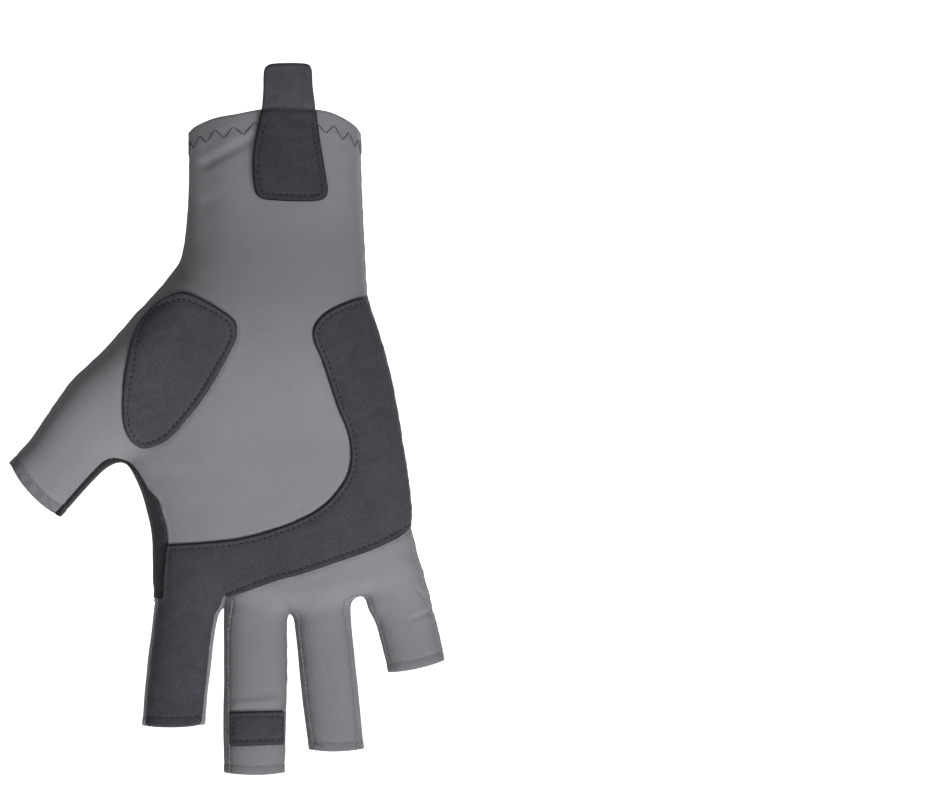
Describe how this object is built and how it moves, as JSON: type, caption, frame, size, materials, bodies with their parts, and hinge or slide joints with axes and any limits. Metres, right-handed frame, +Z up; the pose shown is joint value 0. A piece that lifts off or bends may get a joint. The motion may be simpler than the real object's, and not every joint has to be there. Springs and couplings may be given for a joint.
{
  "type": "fishing glove",
  "caption": "Fingerless stretch-knit fishing glove for the right hand, with suede palm and thumb grip patches, a dark thumb gusset and a pull tab on the cuff.",
  "frame": {"origin": "middle of the wrist opening, at the level of the cuff edge's two sides", "axes": "+Z up out of the cuff, along the forearm; the fingers point to -Z; the palm faces -Y and the back of the hand +Y; the thumb is on the -X side and the little finger on +X"},
  "size_m": [0.1515, 0.0446, 0.2485],
  "materials": {
    "knit": "mid-grey smooth stretch knit, matt with a faint sheen",
    "suede": "charcoal synthetic suede, fine nap, matt"
  },
  "bodies": {
    "root": {"back_panel": "knit", "palm_panel": "knit", "fourchette_index_middle": "knit", "fourchette_middle_ring": "knit", "fourchette_ring_little": "knit", "thumb_gusset": "suede", "thenar_patch": "suede", "palm_patch": "suede", "middle_finger_patch": "suede", "pull_tab": "suede", "pull_tab_lining": "knit"}
  },
  "joints": []
}
